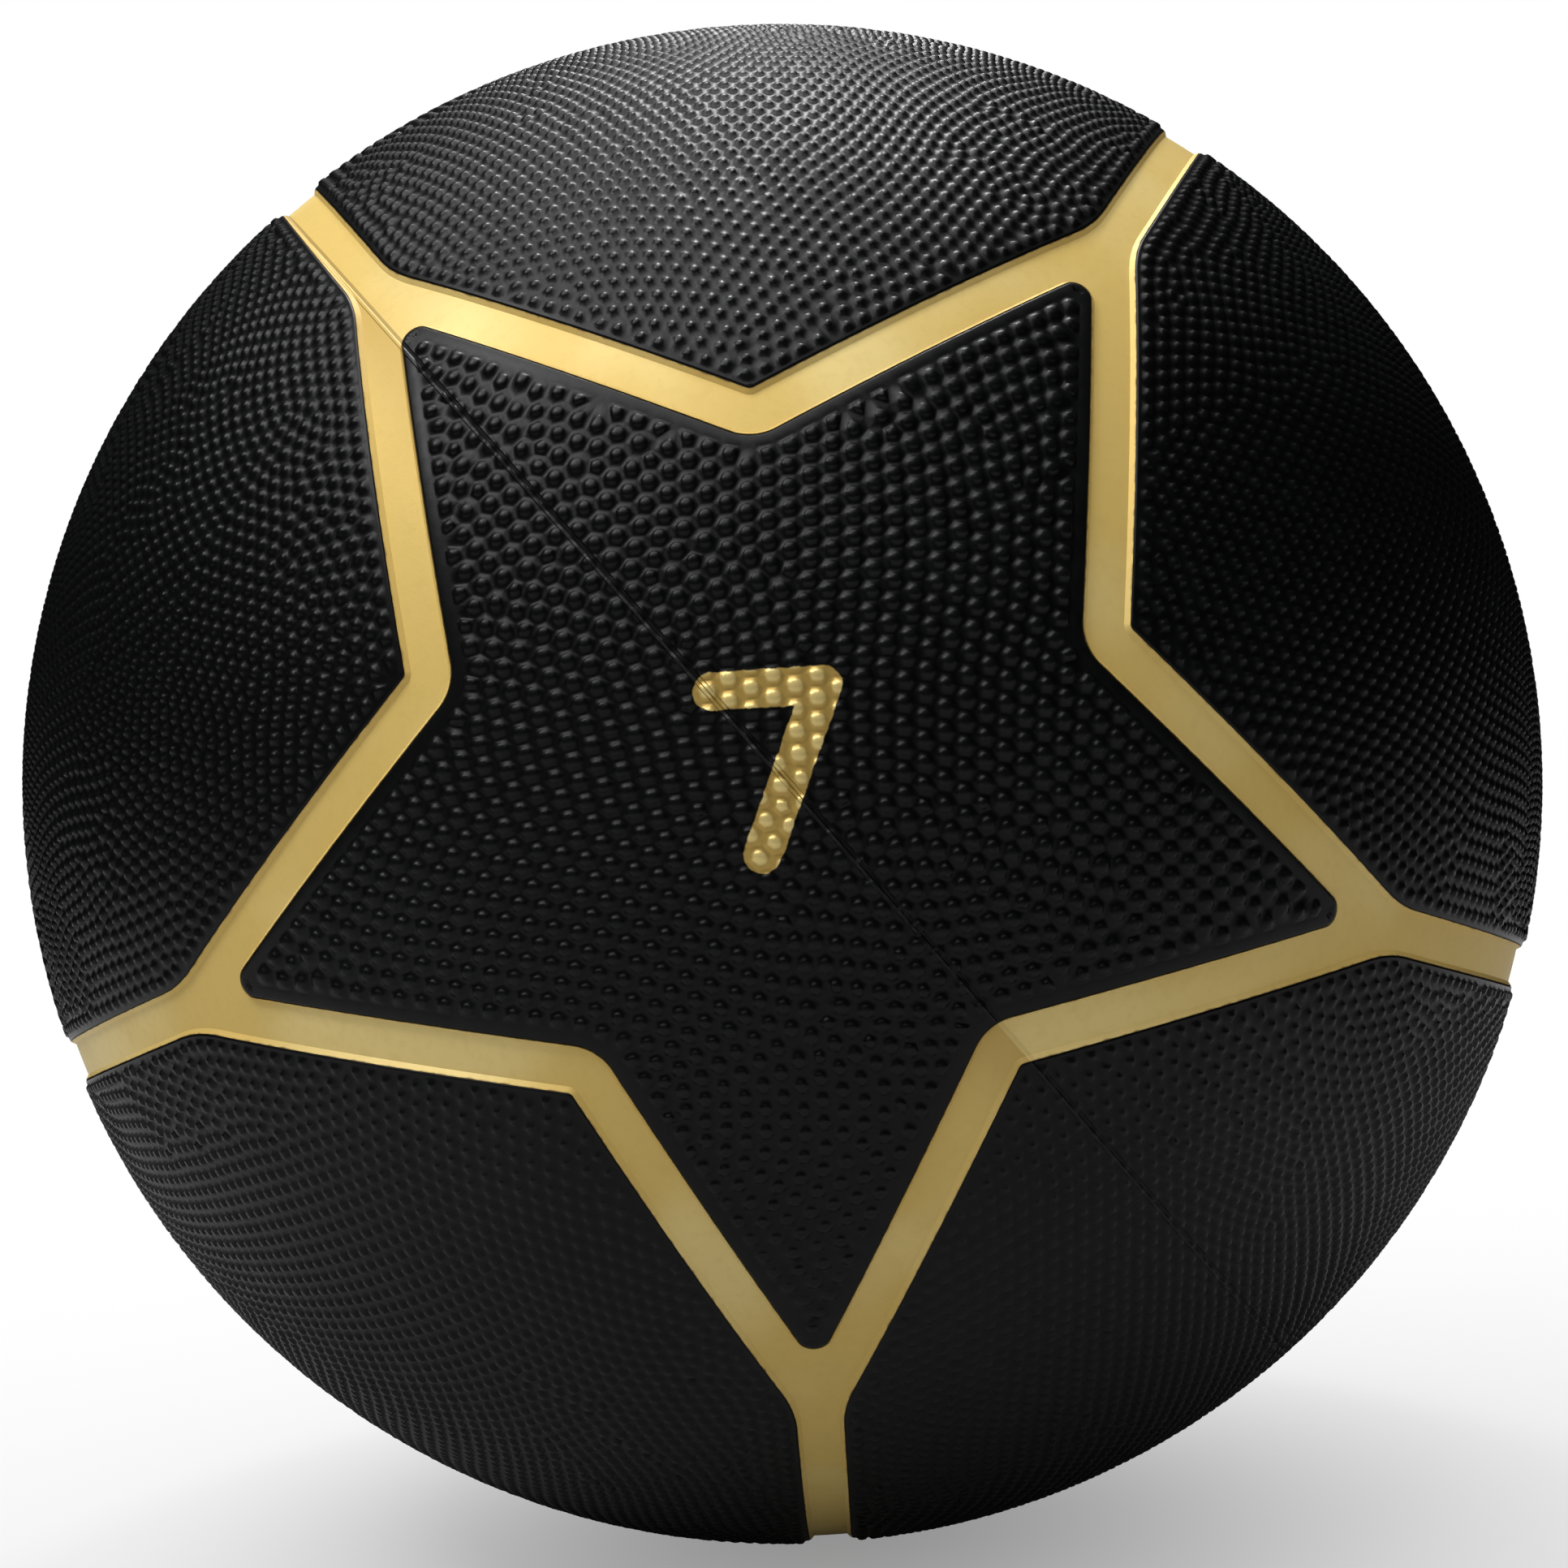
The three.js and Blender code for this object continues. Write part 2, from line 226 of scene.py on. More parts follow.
def beside_spoke(polar, distance):
    """A point beside the middle of a spoke, which is a meridian through the first tip."""
    polar = np.asarray(polar, float)
    angle = distance / BALL_RADIUS
    across = cos(angle)
    sideways = np.full(polar.shape, sin(angle))
    return np.stack([np.sin(polar) * across, sideways, np.cos(polar) * across], axis=-1)


def share_where(distance, plane, offset=0.0):
    """The share of the edge at which the point beside it lies this far from a plane."""
    low, high = -0.6, 1.6
    for _ in range(50):
        middle = (low + high) / 2
        if asin(beside_edge(middle, distance) @ plane) < offset / BALL_RADIUS:
            low = middle
        else:
            high = middle
    return (low + high) / 2


def between(start, end, steps):
    """The shares of a run, without its two ends."""
    return np.linspace(start, end, steps + 1)[1:-1]


class Corner:
    """A rounded corner, with one centre for all the parallel outlines of a panel."""

    def __init__(self, radius, distance, plane, offset=0.0):
        self.radius = radius
        self.share = share_where(distance, plane, offset)
        self.centre = beside_edge(self.share, distance)

    def arc(self, growth, start, end, steps):
        start, end = (unit(spot - (spot @ self.centre) * self.centre) for spot in (start, end))
        aims = along_arc(start, end, np.linspace(0, 1, steps + 1))
        angle = (self.radius + growth) / BALL_RADIUS
        return self.centre * cos(angle) + aims * sin(angle)


JUNCTION_OFFSET = HALF_CHANNEL + JUNCTION_RADIUS
TIP = Corner(TIP_RADIUS, -(HALF_CHANNEL + TIP_RADIUS), TIP_PLANE)
NOTCH = Corner(NOTCH_RADIUS, NOTCH_RADIUS - HALF_CHANNEL, NOTCH_PLANE)
APEX = Corner(APEX_RADIUS, HALF_CHANNEL + APEX_RADIUS, NOTCH_PLANE)
JUNCTION = Corner(JUNCTION_RADIUS, JUNCTION_OFFSET, TIP_PLANE, JUNCTION_OFFSET)
SPOKE_START = atan2(JUNCTION.centre[0], JUNCTION.centre[2])
SPOKE = np.linspace(SPOKE_START, pi / 2, SPOKE_STEPS + 1)[1:]


def star_sector(inset):
    """One sector of the star panel's outline, from the notch to the tip."""
    offset = -(HALF_CHANNEL + inset)
    notch = NOTCH.arc(inset, STAR_AXIS, beside_edge(NOTCH.share, offset), NOTCH_STEPS)
    if inset < TIP_RADIUS:
        share = TIP.share
        tip = TIP.arc(-inset, beside_edge(share, offset), FIRST_TIP, TIP_STEPS)
    else:
        share = share_where(offset, TIP_PLANE)
        tip = beside_edge([share], offset)
    edge = beside_edge(between(NOTCH.share, share, EDGE_STEPS), offset)
    return np.concatenate([notch, edge, tip])


def side_quarter(inset):
    """One quarter of a side panel's outline, from its pointed end to the equator."""
    offset = HALF_CHANNEL + inset
    if inset < APEX_RADIUS:
        share = APEX.share
        apex = APEX.arc(-inset, STAR_AXIS, beside_edge(share, offset), NOTCH_STEPS)
    else:
        share = share_where(offset, NOTCH_PLANE)
        apex = beside_edge([share], offset)
    edge = beside_edge(between(share, JUNCTION.share, EDGE_STEPS), offset)
    start, end = beside_edge(JUNCTION.share, offset), beside_spoke(SPOKE_START, offset)
    fillet = JUNCTION.arc(-inset, start, end, TIP_STEPS + JUNCTION_STEPS)
    return np.concatenate([apex, edge, fillet, beside_spoke(SPOKE, offset)])


# Closed outlines run anticlockwise seen from outside, so the panel lies to their left. The
# outline of a hole runs the other way.

def star_outline(inset):
    sector = star_sector(inset)
    repeat = np.concatenate([sector[1:], mirrored(sector[:-1][::-1], TIP_PLANE)])
    loops = [turned(repeat, -2 * HALF_SECTOR * index) for index in range(STAR_POINTS)]
    return np.concatenate(loops)[::-1]


def side_outline(inset):
    quarter = side_quarter(inset)
    rail = np.concatenate([quarter, mirrored(quarter[:-1][::-1], EQUATOR_PLANE)])
    return np.concatenate([rail, mirrored(rail[1:-1][::-1], NOTCH_PLANE)])


def hole_outline(inset):
    """The round hole for the valve, drawn larger by the inset."""
    azimuth = np.linspace(2 * pi, 0, VALVE_STEPS, endpoint=False)
    across = (VALVE_HOLE + inset) / BALL_RADIUS
    height = np.full(VALVE_STEPS, sqrt(1 - across ** 2))
    return np.stack([across * np.cos(azimuth), across * np.sin(azimuth), height], axis=-1)


class Chart:
    """Draws a stretch of the ball flat about its middle, keeping angles, in metres."""

    def __init__(self, middle):
        upright = TIP_PLANE if abs(middle[2]) > 0.9 else EQUATOR_PLANE
        east = unit(np.cross(upright, middle))
        self.axes = np.stack([east, np.cross(middle, east), middle])

    def flat(self, points):
        local = points @ self.axes.T
        return 2 * BALL_RADIUS * local[..., :2] / (1 + local[..., 2:])

    def lifted(self, plane):
        spread = plane / (2 * BALL_RADIUS)
        square = np.sum(spread ** 2, axis=-1, keepdims=True)
        local = np.concatenate([2 * spread, 1 - square], axis=-1) / (1 + square)
        return local @ self.axes


def triangulated(plane, loops=()):
    """Edges and triangles between flat points. Loops of point numbers bound the triangles."""
    bounds = [
        (int(start), int(end))
        for loop in loops
        for start, end in zip(loop, np.roll(loop, -1))
    ]
    corners = [Vector(spot) for spot in plane * 1000]
    made = delaunay_2d_cdt(corners, bounds, [], 1 if bounds else 0, 1e-6)
    return np.array(made[1]), np.array(made[2])


def facing_out(plane, triangles):
    """The triangles with their corners anticlockwise."""
    first, second, third = (plane[corner] for corner in triangles.T)
    one, other = second - first, third - first
    backward = one[:, 0] * other[:, 1] - one[:, 1] * other[:, 0] < 0
    return np.where(backward[:, None], triangles[:, ::-1], triangles)


def is_inside(plane, loop):
    """Whether flat points lie inside a closed flat line."""
    ends = np.roll(loop, -1, axis=0)
    (left, low), (run, rise) = loop.T, (ends - loop).T
    x, y = plane.T[..., None]
    spans = (low > y) != (ends[:, 1] > y)
    reach = left + (y - low) * (run / np.where(rise == 0, 1.0, rise))
    return np.sum(spans & (x < reach), axis=1) % 2 == 1


def nearest_on(plane, loop):
    """The nearest points on a closed flat line, and how far they are."""
    step = np.roll(loop, -1, axis=0) - loop
    run, rise = step.T
    x, y = plane.T[..., None] - loop.T[:, None]
    share = np.clip((x * run + y * rise) / np.sum(step ** 2, axis=1), 0, 1)
    gap = (x - share * run) ** 2 + (y - share * rise) ** 2
    best = np.argmin(gap, axis=1)
    rows = np.arange(len(plane))
    return loop[best] + share[rows, best, None] * step[best], np.sqrt(gap[rows, best])


def bent_lattice(outline, pitch, random):
    """Rows of points a pitch apart, bent by slow waves, in the flat box of an outline."""
    low, high = outline.min(axis=0) * LATTICE_ROOM, outline.max(axis=0) * LATTICE_ROOM
    columns = np.arange(low[0], high[0], pitch)
    rows = np.arange(low[1], high[1], pitch * sqrt(3) / 2)
    x, y = np.meshgrid(columns, rows)
    x[1::2] += pitch / 2
    plane = np.stack([x.ravel(), y.ravel()], axis=1)
    for _ in range(ROW_WAVES):
        aim, start = random.uniform(0, 2 * pi, 2)
        rhythm = 2 * pi / (pitch * random.uniform(*ROW_WAVE_LENGTH))
        wave = np.sin(plane @ (rhythm * np.array([cos(aim), sin(aim)])) + start)
        sideways = np.array([-sin(aim), cos(aim)]) * ROW_BEND / rhythm
        plane = plane + sideways * wave[:, None]
    plane = plane + random.normal(size=plane.shape) * pitch * ROW_SCATTER
    # Spread the rows so that they are as dense on the ball as on the flat.
    reach = np.linalg.norm(plane, axis=1, keepdims=True) / BALL_RADIUS
    half_polar = np.arcsin(np.clip(reach / 2, 0, 0.99))
    return plane * 2 * np.tan(half_polar) / np.maximum(reach, 1e-9)


def settled_pebbles(chart, borders, pitch, random):
    """Pebble centres. Neighbours push each other apart until they fill the panel, so rows
    follow its edges and meet in the small faults that an engraved mould has."""
    outline, *holes = [chart.flat(border) for border in borders]
    plane = bent_lattice(outline, pitch, random)
    kept = is_inside(plane, outline)
    for hole in holes:
        kept &= ~is_inside(plane, hole)
    points = chart.lifted(plane[kept])
    beside = np.flatnonzero(nearest_on(plane[kept], outline)[1] < EDGE_BELT * pitch)
    spread = SETTLING_REACH * pitch / BALL_RADIUS
    for _ in range(SETTLING_ROUNDS):
        start, end = triangulated(chart.flat(points))[0].T
        span = points[end] - points[start]
        length = np.linalg.norm(span, axis=1, keepdims=True)
        push = np.maximum(spread - length, 0) / length * span
        shift = np.stack([
            np.bincount(end, part, len(points)) - np.bincount(start, part, len(points))
            for part in push.T
        ], axis=1)
        points = unit(points + SETTLING_STEP * shift)
        plane = chart.flat(points)
        outside = beside[~is_inside(plane[beside], outline)]
        plane[outside] = nearest_on(plane[outside], outline)[0]
        for hole in holes:
            fallen = is_inside(plane, hole)
            plane[fallen] = nearest_on(plane[fallen], hole)[0]
        points = chart.lifted(plane)
    return points


class Body:
    """Gathers the points, triangles and flat map of one closed piece."""

    def __init__(self):
        self.points, self.relief, self.count = [], [], 0
        self.triangles, self.maps = [], []

    def add(self, points, relief):
        """Adds points and gives their numbers, in the same layout."""
        self.points.append(points.reshape(-1, 3))
        self.relief.append(np.broadcast_to(relief, points.shape[:-1]).ravel())
        first = self.count
        self.count += len(self.points[-1])
        return np.arange(first, self.count).reshape(points.shape[:-1])

    def faces(self, *corners):
        """Adds triangles. Each corner is a pair: point numbers, and their places on the map."""
        self.triangles.append(np.stack([ids.ravel() for ids, _ in corners], axis=1))
        self.maps.append(np.stack([spots.reshape(-1, 2) for _, spots in corners], axis=1))

    def band(self, inner, outer, closed=True):
        """A strip between two lines of points, each a pair as above."""
        end = None if closed else -1
        near, far = [[part[:end] for part in line] for line in (inner, outer)]
        next_near, next_far = [
            [np.roll(part, -1, axis=0)[:end] for part in line] for line in (inner, outer)
        ]
        self.faces(near, far, next_far)
        self.faces(near, next_far, next_near)


def rolled(ring):
    """A ring of corners moved on by one place."""
    return [np.roll(part, -1, axis=1) for part in ring]


def every_other(ring, first):
    return [part[:, first::2] for part in ring]


def join_rings(body, inner, outer):
    """Triangles between two rings of each pebble. The outer ring has as many points as the
    inner one, twice as many or half as many."""
    inner_count, outer_count = inner[0].shape[1], outer[0].shape[1]
    if inner_count == outer_count:
        body.faces(inner, outer, rolled(outer))
        body.faces(inner, rolled(outer), rolled(inner))
    elif inner_count > outer_count:
        corner, middle = every_other(inner, 0), every_other(inner, 1)
        body.faces(corner, outer, middle)
        body.faces(middle, outer, rolled(outer))
        body.faces(middle, rolled(outer), rolled(corner))
    else:
        corner, middle = every_other(outer, 0), every_other(outer, 1)
        body.faces(inner, corner, middle)
        body.faces(inner, middle, rolled(inner))
        body.faces(rolled(inner), middle, rolled(corner))


# Radii of the cover's surfaces.
RIM_TOP = BALL_RADIUS - RIM_DROP
PEBBLE_TOP = BALL_RADIUS - PEBBLE_HEADROOM
COVER_INNER = NET_RADIUS - CHANNEL_RUBBER

# The grain of a panel: how far its pebbles stand apart, how high they are, and the rings of
# each: share of the way out, share of the height, and 1 or 2 for all or half of the points.
Grain = namedtuple("Grain", "pitch height rings")
STAR_GRAIN = Grain(0.00272, 0.00052, ((0.36, 0.94, 2), (0.56, 0.66, 1), (0.74, 0.05, 1)))
BACK_GRAIN = Grain(0.00272, 0.00052, ((0.45, 0.86, 2), (0.74, 0.06, 1)))
SIDE_GRAIN = Grain(0.00235, 0.00045, ((0.44, 0.86, 2), (0.74, 0.06, 2)))


def point_numbers(lines, first=0):
    """The numbers of the points of some lines, one line after another."""
    ends = np.cumsum([first] + [len(line) for line in lines])
    return [np.arange(start, end) for start, end in zip(ends, ends[1:])]


class Panel(Body):
    """A cover panel and its flat map: the outer face, and the inner face small at the side."""

    inner_scale = 0.24
    wall_room = 0.003
    gap = 0.02

    def __init__(self, middle, outline):
        super().__init__()
        self.chart = Chart(middle)
        border = self.chart.flat(outline(-self.wall_room))
        self.low = border.min(axis=0)
        width, height = border.max(axis=0) - self.low
        self.size = max(width * (1 + 2 * self.gap + self.inner_scale), height * (1 + self.gap / 2))
        self.inner_low = np.array([width * (1 + self.gap) / self.size, self.gap / 2])

    def outer(self, points):
        return (self.chart.flat(points) - self.low) / self.size

    def inner(self, points):
        return self.outer(points) * self.inner_scale + self.inner_low

    def lay(self, spots, radius, relief):
        """Adds points in these directions. Gives their numbers and their places on the map."""
        return self.add(spots * radius, relief), self.outer(spots)


def pebbled_panel(outline, middle, rim, lip, grain, seed, hole=False):
    """A cover panel: pebbles, flat rim, rolled lip, wall, and the inner face."""
    random = np.random.default_rng(seed)
    body = Panel(middle, outline)
    chart = body.chart
    edges = [(outline, rim, lip)]
    if hole:
        edges.append((hole_outline, VALVE_LIP + VALVE_RING, VALVE_LIP))
    borders = [line(inset + grain.pitch / 2) for line, inset, _ in edges]
    pebbles = settled_pebbles(chart, borders, grain.pitch, random)

    # Guide points are the pebbles and then the rim lines.
    rims = [line(inset) for line, inset, _ in edges]
    guides, loops = np.concatenate([pebbles, *rims]), point_numbers(rims, len(pebbles))
    triangles = panel_triangles(chart, guides, loops)

    # A junction lies in each triangle, where three cells meet, and close to the rim beside it.
    at_rim = triangles >= len(pebbles)
    weights = np.where(at_rim, RIM_PULL, 1.0)[..., None]
    spots = unit(np.sum(guides[triangles] * weights, axis=1))
    rim_share = at_rim.sum(axis=1) / 3
    valley = PEBBLE_TOP - grain.height
    radius = valley + (RIM_TOP - valley) * rim_share * JUNCTION_RISE
    junctions = spots, *body.lay(spots, radius[:, None], rim_share * JUNCTION_RELIEF)

    # The triangles round each guide point, in order of their direction from it.
    owner, owned = triangles.ravel(), np.repeat(np.arange(len(triangles)), 3)
    aim = chart.flat(spots)[owned] - chart.flat(guides)[owner]
    owned = owned[np.lexsort([np.arctan2(aim[:, 1], aim[:, 0]), owner])]
    counts = np.bincount(owner, minlength=len(guides))
    cells = np.split(owned, np.cumsum(counts)[:-1])
    add_pebbles(body, pebbles, junctions, cells, grain, random)

    tails = []
    for (line, inset, roll), loop in zip(edges, loops):
        rim_line = body.lay(guides[loop], RIM_TOP, RIM_RELIEF)
        add_skirt(body, guides[loop], rim_line, [cells[guide] for guide in loop], junctions)
        tails.append((add_edge(body, rim_line, line, inset, roll), line(0.0)))
    add_inner_face(body, tails)
    return body


def panel_triangles(chart, guides, loops):
    """Triangles between guide points inside the first loop, without those over the hole."""
    plane = chart.flat(guides)
    triangles = triangulated(plane, loops)[1]
    for loop in loops[1:]:
        triangles = triangles[~is_inside(plane[triangles].mean(axis=1), plane[loop])]
    return facing_out(plane, triangles)


def add_pebbles(body, pebbles, junctions, cells, grain, random):
    """Domes, made together for all the pebbles with the same number of neighbours."""
    spots, junction_ids, junction_map = junctions
    half_pitch = grain.pitch / BALL_RADIUS / 2
    valley = PEBBLE_TOP - grain.height
    sizes = 1 + SIZE_SCATTER * random.normal(size=(len(pebbles), 1, 1))
    uneven = 1 + HEIGHT_SCATTER * random.normal(size=(len(pebbles), 1, 1))
    heights = grain.height * np.clip(uneven, LOWEST_PEBBLE, 1)
    leans = random.normal(size=(len(pebbles), 1, 3)) * half_pitch * PEBBLE_LEAN
    counts = np.array([len(around) for around in cells[:len(pebbles)]])
    for neighbours in np.unique(counts):
        chosen = np.flatnonzero(counts == neighbours)
        own = np.array([cells[pebble] for pebble in chosen])
        centre, size, height = pebbles[chosen][:, None, :], sizes[chosen], heights[chosen]
        corner = spots[own]
        halfway = unit(corner + np.roll(corner, -1, axis=1))
        around = np.stack([corner, halfway], axis=2).reshape(len(chosen), -1, 3) - centre
        reach = np.linalg.norm(around, axis=2, keepdims=True)
        even = np.minimum(reach, half_pitch) / reach
        bound = around * (PEBBLE_ROUNDNESS * even + 1 - PEBBLE_ROUNDNESS) * size
        crown = unit(centre + leans[chosen])
        tops = body.lay(crown, valley + height, 1.0)
        lines = []
        for share, level, every in grain.rings:
            spot = unit(centre + bound[:, ::every] * share)
            lines.append(body.lay(spot, valley + height * level, level))
        lines.append((junction_ids[own], junction_map[own]))
        first = lines[0]
        peak = [np.broadcast_to(top, part.shape) for top, part in zip(tops, first)]
        body.faces(peak, first, rolled(first))
        for inner, outer in zip(lines, lines[1:]):
            join_rings(body, inner, outer)


def add_skirt(body, rim_spots, rim_line, cells, junctions):
    """The ground between the rim line and the junctions next to it."""
    spots, junction_ids, junction_map = junctions
    flat_rim = body.chart.flat(rim_spots)
    ids, maps = rim_line
    faces, places = [], []
    for at, around in enumerate(cells):
        following = (at + 1) % len(cells)
        base = flat_rim[following] - flat_rim[at]
        aim = body.chart.flat(spots[around]) - flat_rim[at]
        angle = np.arctan2(aim[:, 1], aim[:, 0]) - atan2(base[1], base[0])
        around = around[np.argsort(angle % (2 * pi))]
        faces.append((ids[at], ids[following], junction_ids[around[0]]))
        places.append((maps[at], maps[following], junction_map[around[0]]))
        for one, other in zip(around, around[1:]):
            faces.append((ids[at], junction_ids[one], junction_ids[other]))
            places.append((maps[at], junction_map[one], junction_map[other]))
    body.triangles.append(np.array(faces))
    body.maps.append(np.array(places))


def add_edge(body, rim_line, outline, rim, lip):
    """The flat rim, the rolled lip and the wall. Returns the numbers of the wall's foot."""
    profile = []
    for step in range(LIP_STEPS + 1):
        angle = pi / 2 * step / LIP_STEPS
        inset = lip * (1 - sin(angle))
        radius = RIM_TOP - lip * (1 - cos(angle))
        profile.append((inset, radius, LIP_RELIEF * (1 - step / LIP_STEPS)))
    profile.append((0.0, COVER_INNER, 0.0))
    line, spent = rim_line, rim
    last_inset, last_radius = rim, RIM_TOP
    for inset, radius, relief in profile:
        spent -= hypot(inset - last_inset, radius - last_radius)
        last_inset, last_radius = inset, radius
        next_line = body.add(outline(inset) * radius, relief), body.outer(outline(spent))
        body.band(line, next_line)
        line = next_line
    return line[0]


def add_inner_face(body, tails):
    """The face that is bonded to the carcass, on a coarse grid inside the wall's foot."""
    chart = body.chart
    border = chart.flat(tails[0][1])
    low, high = border.min(axis=0), border.max(axis=0)
    columns = np.arange(low[0], high[0], INNER_FACE_PITCH)
    rows = np.arange(low[1], high[1], INNER_FACE_PITCH)
    plane = np.stack(np.meshgrid(columns, rows), axis=-1).reshape(-1, 2)
    kept = is_inside(plane, border) & (nearest_on(plane, border)[1] > INNER_FACE_PITCH / 3)
    if len(tails) > 1:
        kept &= np.linalg.norm(plane, axis=1) > VALVE_HOLE + INNER_FACE_PITCH / 3
    inside = chart.lifted(plane[kept])
    spots = np.concatenate([line for _, line in tails] + [inside])
    ids = np.concatenate([ids for ids, _ in tails] + [body.add(inside * COVER_INNER, 0.0)])
    loops = point_numbers([line for _, line in tails])
    triangles = panel_triangles(chart, spots, loops)[:, ::-1]
    places = body.inner(spots)
    body.faces(*[(ids[corner], places[corner]) for corner in triangles.T])


def in_scene(name, data):
    made = bpy.data.objects.new(name, data)
    bpy.context.scene.collection.objects.link(made)
    return made


def mesh_object(name, body, place, slot, material, stands_for, welded=False):
    """A smooth mesh object with its flat map and its relief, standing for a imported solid."""
    points, triangles = place(np.concatenate(body.points)), np.concatenate(body.triangles)
    mesh = bpy.data.meshes.new(name)
    mesh.from_pydata(points.tolist(), [], triangles.tolist(), shade_flat=False)
    flat_map = mesh.uv_layers.new(name="OFBake")
    flat_map.uv.foreach_set("vector", np.concatenate(body.maps).astype(np.float32).ravel())
    relief = mesh.attributes.new("relief", "FLOAT", "POINT")
    relief.data.foreach_set("value", np.concatenate(body.relief).astype(np.float32))
    if welded:
        weld(mesh)
    mesh.validate()
    mesh.materials.append(material)
    made = in_scene(name, mesh)
    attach(made, "root")
    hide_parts(stands_for)


def weld(mesh):
    """Joins points that share a place, and keeps the corners that are meant to be sharp."""
    work = bmesh.new()
    work.from_mesh(mesh)
    bmesh.ops.remove_doubles(work, verts=work.verts, dist=WELD_DISTANCE)
    work.to_mesh(mesh)
    work.free()
    mesh.set_sharp_from_angle(angle=SHARP_ANGLE)


def operator(operation, reflected=False):
    """An operator on sockets that adds a Math node."""
    def apply(self, other):
        values = (other, self) if reflected else (self, other)
        return self.look.combined(operation, *values)
    return apply


class Socket:
    """A value or a colour in a material, which takes part in sums as a number does."""

    def __init__(self, look, socket):
        self.look, self.socket = look, socket

    def __abs__(self):
        return self.look.combined("ABSOLUTE", self)

    __add__, __radd__ = operator("ADD"), operator("ADD", True)
    __sub__, __rsub__ = operator("SUBTRACT"), operator("SUBTRACT", True)
    __mul__, __rmul__ = operator("MULTIPLY"), operator("MULTIPLY", True)
    __truediv__, __rtruediv__ = operator("DIVIDE"), operator("DIVIDE", True)
    __pow__, __rpow__ = operator("POWER"), operator("POWER", True)


class Look:
    """The look of a surface or of the world, and the nodes that make it."""

    def __init__(self, name, world=False):
        self.owner = (bpy.data.worlds if world else bpy.data.materials).new(name)
        self.owner.use_nodes = True
        self.tree = self.owner.node_tree
        self.tree.nodes.clear()

    def node(self, kind, settings=None, inputs=None, output=0):
        """Any node: its type, its settings, and the values or links of its sockets."""
        made = self.tree.nodes.new("ShaderNode" + kind)
        for key, value in (settings or {}).items():
            setattr(made, key, value)
        for key, value in (inputs or {}).items():
            if isinstance(value, Socket):
                self.tree.links.new(value.socket, made.inputs[key])
            elif value is not None:
                made.inputs[key].default_value = value
        return Socket(self, made.outputs[output]) if made.outputs else None

    def combined(self, operation, *values):
        return self.node("Math", {"operation": operation}, dict(enumerate(values)))

    def place(self):
        return self.node("TexCoord", output="Object")

    def relief(self):
        return self.node("Attribute", {"attribute_name": "relief"}, output="Fac")

    def noise(self, scale, detail=2.0, roughness=0.5):
        inputs = {"Vector": self.place(), "Scale": scale, "Detail": detail, "Roughness": roughness}
        return self.node("TexNoise", None, inputs)

    def along(self, vector, axis):
        """How far a place lies along an axis."""
        inputs = {0: vector, 1: axis}
        return self.node("VectorMath", {"operation": "DOT_PRODUCT"}, inputs, "Value")

    def smooth(self, value, start, end, low=0.0, high=1.0):
        """Eases from low to high while the value goes from start to end."""
        settings = {"interpolation_type": "SMOOTHSTEP"}
        inputs = {"Value": value, "From Min": start, "From Max": end, "To Min": low, "To Max": high}
        return self.node("MapRange", settings, inputs)

    def mix(self, factor, first, second):
        """A colour between two colours."""
        inputs = {0: factor, 6: first, 7: second}
        return self.node("Mix", {"data_type": "RGBA"}, inputs, 2)

    def bump(self, height, distance, strength=1.0, normal=None):
        inputs = {"Height": height, "Distance": distance, "Strength": strength, "Normal": normal}
        return self.node("Bump", None, inputs)

    def shaded(self, shader, output="OutputMaterial"):
        """The material or the world, with the shader joined to its output."""
        self.node(output, None, {"Surface": shader})
        return self.owner

    def surface(self, colour, roughness, normal=None, metal=0.0, shine=0.5):
        inputs = {"Base Color": colour, "Roughness": roughness, "Normal": normal}
        inputs |= {"Metallic": metal, "Specular IOR Level": shine}
        return self.shaded(self.node("BsdfPrincipled", None, inputs))


# Rubber, from the ground between the pebbles, painted darker there as shade, to their tops, and the
# paint of the channels.
BLACK_VALLEY_SHADE = (0.0007, 0.0008, 0.0008, 1)
BLACK_TOP = (0.0024, 0.0028, 0.0026, 1)
BLACK_DUST = (0.007, 0.0077, 0.0077, 1)
# Painted highlight of the flash, and painted shade of the foot of the parting line.
FLASH_HIGHLIGHT_GREY = (0.012, 0.013, 0.012, 1)
FOOT_SHADE_BLACK = (0.0003, 0.0003, 0.0003, 1)
RUBBER_ROUGHNESS = 0.43
RUBBER_SHINE = 0.17
GOLD = (0.64, 0.455, 0.135, 1)
# The pale gold is a painted highlight, in the clouds of the channel paint and on the tops of the
# painted number.
PALE_GOLD_HIGHLIGHT = (0.72, 0.56, 0.22, 1)
GOLD_DEEP = (0.48, 0.32, 0.085, 1)
GOLD_THIN = (0.16, 0.09, 0.03, 1)
# Painted shade of the foot of the parting line, on the gold.
GOLD_FOOT_SHADE = (0.2, 0.12, 0.035, 1)
GOLD_ROUGHNESS = 0.52
GOLD_METAL = 0.14
GOLD_SHINE = 0.2

# Colour, worn colour, roughness and fineness of grain of the rubbers that aren't painted.
PLAIN_RUBBERS = {
    "stem_rubber": ((0.010, 0.010, 0.011, 1), (0.018, 0.018, 0.02, 1), 0.5, 900),
    "plug_rubber": ((0.022, 0.02, 0.018, 1), (0.034, 0.031, 0.028, 1), 0.45, 1200),
    "carcass_rubber": ((0.020, 0.018, 0.017, 1), (0.035, 0.032, 0.03, 1), 0.8, 300),
    "butyl_rubber": ((0.007, 0.007, 0.008, 1), (0.015, 0.015, 0.016, 1), 0.55, 120),
}
NYLON_SHADE = (0.35, 0.31, 0.24, 1)
NYLON = (0.70, 0.65, 0.54, 1)
NYLON_LAYS = ((0.2, 0.3, 0.0), (1.9, 0.4, 1.1))
